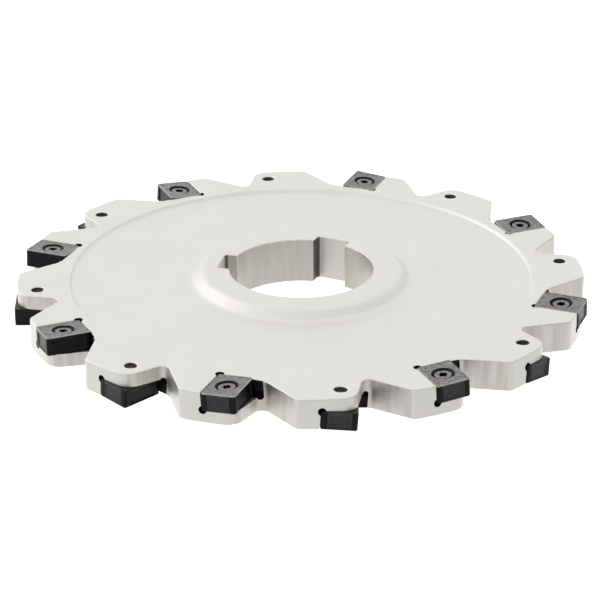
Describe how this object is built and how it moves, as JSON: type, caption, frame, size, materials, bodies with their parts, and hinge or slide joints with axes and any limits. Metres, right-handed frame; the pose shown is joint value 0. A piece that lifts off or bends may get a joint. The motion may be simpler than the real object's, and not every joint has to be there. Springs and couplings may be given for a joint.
{
  "type": "indexable side and face milling cutter",
  "caption": "Disc milling cutter with carbide inserts screwed alternately into pockets in both faces of its rim, and a keyed central bore for an arbor.",
  "frame": {"origin": "on the cutter's axis, in the plane of the lower hub face that it rests on", "axes": "+Z along the axis, out of the upper hub face; +X and +Y in the disc's plane, with the keyways at 66.2 and 167.45 degrees from +X"},
  "size_m": [0.197, 0.197, 0.016],
  "materials": {
    "nickel_plated_steel": "satin nickel plate over fine-blasted steel",
    "coated_carbide": "satin dark coating",
    "black_screw_steel": "satin black oxide"
  },
  "bodies": {
    "cutter_body": {"cutter_body": "nickel_plated_steel"},
    "lower_insert_1": {"lower_insert_1": "coated_carbide"},
    "lower_screw_1": {"lower_screw_1": "black_screw_steel"},
    "lower_insert_2": {"lower_insert_2": "coated_carbide"},
    "lower_screw_2": {"lower_screw_2": "black_screw_steel"},
    "lower_insert_3": {"lower_insert_3": "coated_carbide"},
    "lower_screw_3": {"lower_screw_3": "black_screw_steel"},
    "lower_insert_4": {"lower_insert_4": "coated_carbide"},
    "lower_screw_4": {"lower_screw_4": "black_screw_steel"},
    "lower_insert_5": {"lower_insert_5": "coated_carbide"},
    "lower_screw_5": {"lower_screw_5": "black_screw_steel"},
    "lower_insert_6": {"lower_insert_6": "coated_carbide"},
    "lower_screw_6": {"lower_screw_6": "black_screw_steel"},
    "lower_insert_7": {"lower_insert_7": "coated_carbide"},
    "lower_screw_7": {"lower_screw_7": "black_screw_steel"},
    "lower_insert_8": {"lower_insert_8": "coated_carbide"},
    "lower_screw_8": {"lower_screw_8": "black_screw_steel"},
    "upper_insert_1": {"upper_insert_1": "coated_carbide"},
    "upper_screw_1": {"upper_screw_1": "black_screw_steel"},
    "upper_insert_2": {"upper_insert_2": "coated_carbide"},
    "upper_screw_2": {"upper_screw_2": "black_screw_steel"},
    "upper_insert_3": {"upper_insert_3": "coated_carbide"},
    "upper_screw_3": {"upper_screw_3": "black_screw_steel"},
    "upper_insert_4": {"upper_insert_4": "coated_carbide"},
    "upper_screw_4": {"upper_screw_4": "black_screw_steel"},
    "upper_insert_5": {"upper_insert_5": "coated_carbide"},
    "upper_screw_5": {"upper_screw_5": "black_screw_steel"},
    "upper_insert_6": {"upper_insert_6": "coated_carbide"},
    "upper_screw_6": {"upper_screw_6": "black_screw_steel"},
    "upper_insert_7": {"upper_insert_7": "coated_carbide"},
    "upper_screw_7": {"upper_screw_7": "black_screw_steel"},
    "upper_insert_8": {"upper_insert_8": "coated_carbide"},
    "upper_screw_8": {"upper_screw_8": "black_screw_steel"}
  },
  "joints": [
    {"name": "lower_insert_1_lift", "type": "slide", "parent": "cutter_body", "child": "lower_insert_1", "axis": [0.001, -0.0698, -0.9976], "range_m": [0, 0.012]},
    {"name": "lower_screw_1_turn", "type": "hinge", "parent": "lower_insert_1", "child": "lower_screw_1", "pos_m": [0.09073, 0.01177, 0.00242], "axis": [0.001, -0.0698, -0.9976], "continuous": true},
    {"name": "lower_insert_2_lift", "type": "slide", "parent": "cutter_body", "child": "lower_insert_2", "axis": [0.05, -0.0486, -0.9976], "range_m": [0, 0.012]},
    {"name": "lower_screw_2_turn", "type": "hinge", "parent": "lower_insert_2", "child": "lower_screw_2", "pos_m": [0.05583, 0.07248, 0.00242], "axis": [0.05, -0.0486, -0.9976], "continuous": true},
    {"name": "lower_insert_3_lift", "type": "slide", "parent": "cutter_body", "child": "lower_insert_3", "axis": [0.0698, 0.001, -0.9976], "range_m": [0, 0.012]},
    {"name": "lower_screw_3_turn", "type": "hinge", "parent": "lower_insert_3", "child": "lower_screw_3", "pos_m": [-0.01177, 0.09073, 0.00242], "axis": [0.0698, 0.001, -0.9976], "continuous": true},
    {"name": "lower_insert_4_lift", "type": "slide", "parent": "cutter_body", "child": "lower_insert_4", "axis": [0.0486, 0.05, -0.9976], "range_m": [0, 0.012]},
    {"name": "lower_screw_4_turn", "type": "hinge", "parent": "lower_insert_4", "child": "lower_screw_4", "pos_m": [-0.07248, 0.05583, 0.00242], "axis": [0.0486, 0.05, -0.9976], "continuous": true},
    {"name": "lower_insert_5_lift", "type": "slide", "parent": "cutter_body", "child": "lower_insert_5", "axis": [-0.001, 0.0698, -0.9976], "range_m": [0, 0.012]},
    {"name": "lower_screw_5_turn", "type": "hinge", "parent": "lower_insert_5", "child": "lower_screw_5", "pos_m": [-0.09073, -0.01177, 0.00242], "axis": [-0.001, 0.0698, -0.9976], "continuous": true},
    {"name": "lower_insert_6_lift", "type": "slide", "parent": "cutter_body", "child": "lower_insert_6", "axis": [-0.05, 0.0486, -0.9976], "range_m": [0, 0.012]},
    {"name": "lower_screw_6_turn", "type": "hinge", "parent": "lower_insert_6", "child": "lower_screw_6", "pos_m": [-0.05583, -0.07248, 0.00242], "axis": [-0.05, 0.0486, -0.9976], "continuous": true},
    {"name": "lower_insert_7_lift", "type": "slide", "parent": "cutter_body", "child": "lower_insert_7", "axis": [-0.0698, -0.001, -0.9976], "range_m": [0, 0.012]},
    {"name": "lower_screw_7_turn", "type": "hinge", "parent": "lower_insert_7", "child": "lower_screw_7", "pos_m": [0.01177, -0.09073, 0.00242], "axis": [-0.0698, -0.001, -0.9976], "continuous": true},
    {"name": "lower_insert_8_lift", "type": "slide", "parent": "cutter_body", "child": "lower_insert_8", "axis": [-0.0486, -0.05, -0.9976], "range_m": [0, 0.012]},
    {"name": "lower_screw_8_turn", "type": "hinge", "parent": "lower_insert_8", "child": "lower_screw_8", "pos_m": [0.07248, -0.05583, 0.00242], "axis": [-0.0486, -0.05, -0.9976], "continuous": true},
    {"name": "upper_insert_1_lift", "type": "slide", "parent": "cutter_body", "child": "upper_insert_1", "axis": [0.0276, -0.0641, 0.9976], "range_m": [0, 0.012]},
    {"name": "upper_screw_1_turn", "type": "hinge", "parent": "upper_insert_1", "child": "upper_screw_1", "pos_m": [0.07931, 0.04559, 0.01358], "axis": [0.0276, -0.0641, 0.9976], "continuous": true},
    {"name": "upper_insert_2_lift", "type": "slide", "parent": "cutter_body", "child": "upper_insert_2", "axis": [0.0648, -0.0258, 0.9976], "range_m": [0, 0.012]},
    {"name": "upper_screw_2_turn", "type": "hinge", "parent": "upper_insert_2", "child": "upper_screw_2", "pos_m": [0.02384, 0.08832, 0.01358], "axis": [0.0648, -0.0258, 0.9976], "continuous": true},
    {"name": "upper_insert_3_lift", "type": "slide", "parent": "cutter_body", "child": "upper_insert_3", "axis": [0.0641, 0.0276, 0.9976], "range_m": [0, 0.012]},
    {"name": "upper_screw_3_turn", "type": "hinge", "parent": "upper_insert_3", "child": "upper_screw_3", "pos_m": [-0.04559, 0.07931, 0.01358], "axis": [0.0641, 0.0276, 0.9976], "continuous": true},
    {"name": "upper_insert_4_lift", "type": "slide", "parent": "cutter_body", "child": "upper_insert_4", "axis": [0.0258, 0.0648, 0.9976], "range_m": [0, 0.012]},
    {"name": "upper_screw_4_turn", "type": "hinge", "parent": "upper_insert_4", "child": "upper_screw_4", "pos_m": [-0.08832, 0.02384, 0.01358], "axis": [0.0258, 0.0648, 0.9976], "continuous": true},
    {"name": "upper_insert_5_lift", "type": "slide", "parent": "cutter_body", "child": "upper_insert_5", "axis": [-0.0276, 0.0641, 0.9976], "range_m": [0, 0.012]},
    {"name": "upper_screw_5_turn", "type": "hinge", "parent": "upper_insert_5", "child": "upper_screw_5", "pos_m": [-0.07931, -0.04559, 0.01358], "axis": [-0.0276, 0.0641, 0.9976], "continuous": true},
    {"name": "upper_insert_6_lift", "type": "slide", "parent": "cutter_body", "child": "upper_insert_6", "axis": [-0.0648, 0.0258, 0.9976], "range_m": [0, 0.012]},
    {"name": "upper_screw_6_turn", "type": "hinge", "parent": "upper_insert_6", "child": "upper_screw_6", "pos_m": [-0.02384, -0.08832, 0.01358], "axis": [-0.0648, 0.0258, 0.9976], "continuous": true},
    {"name": "upper_insert_7_lift", "type": "slide", "parent": "cutter_body", "child": "upper_insert_7", "axis": [-0.0641, -0.0276, 0.9976], "range_m": [0, 0.012]},
    {"name": "upper_screw_7_turn", "type": "hinge", "parent": "upper_insert_7", "child": "upper_screw_7", "pos_m": [0.04559, -0.07931, 0.01358], "axis": [-0.0641, -0.0276, 0.9976], "continuous": true},
    {"name": "upper_insert_8_lift", "type": "slide", "parent": "cutter_body", "child": "upper_insert_8", "axis": [-0.0258, -0.0648, 0.9976], "range_m": [0, 0.012]},
    {"name": "upper_screw_8_turn", "type": "hinge", "parent": "upper_insert_8", "child": "upper_screw_8", "pos_m": [0.08832, -0.02384, 0.01358], "axis": [-0.0258, -0.0648, 0.9976], "continuous": true}
  ]
}
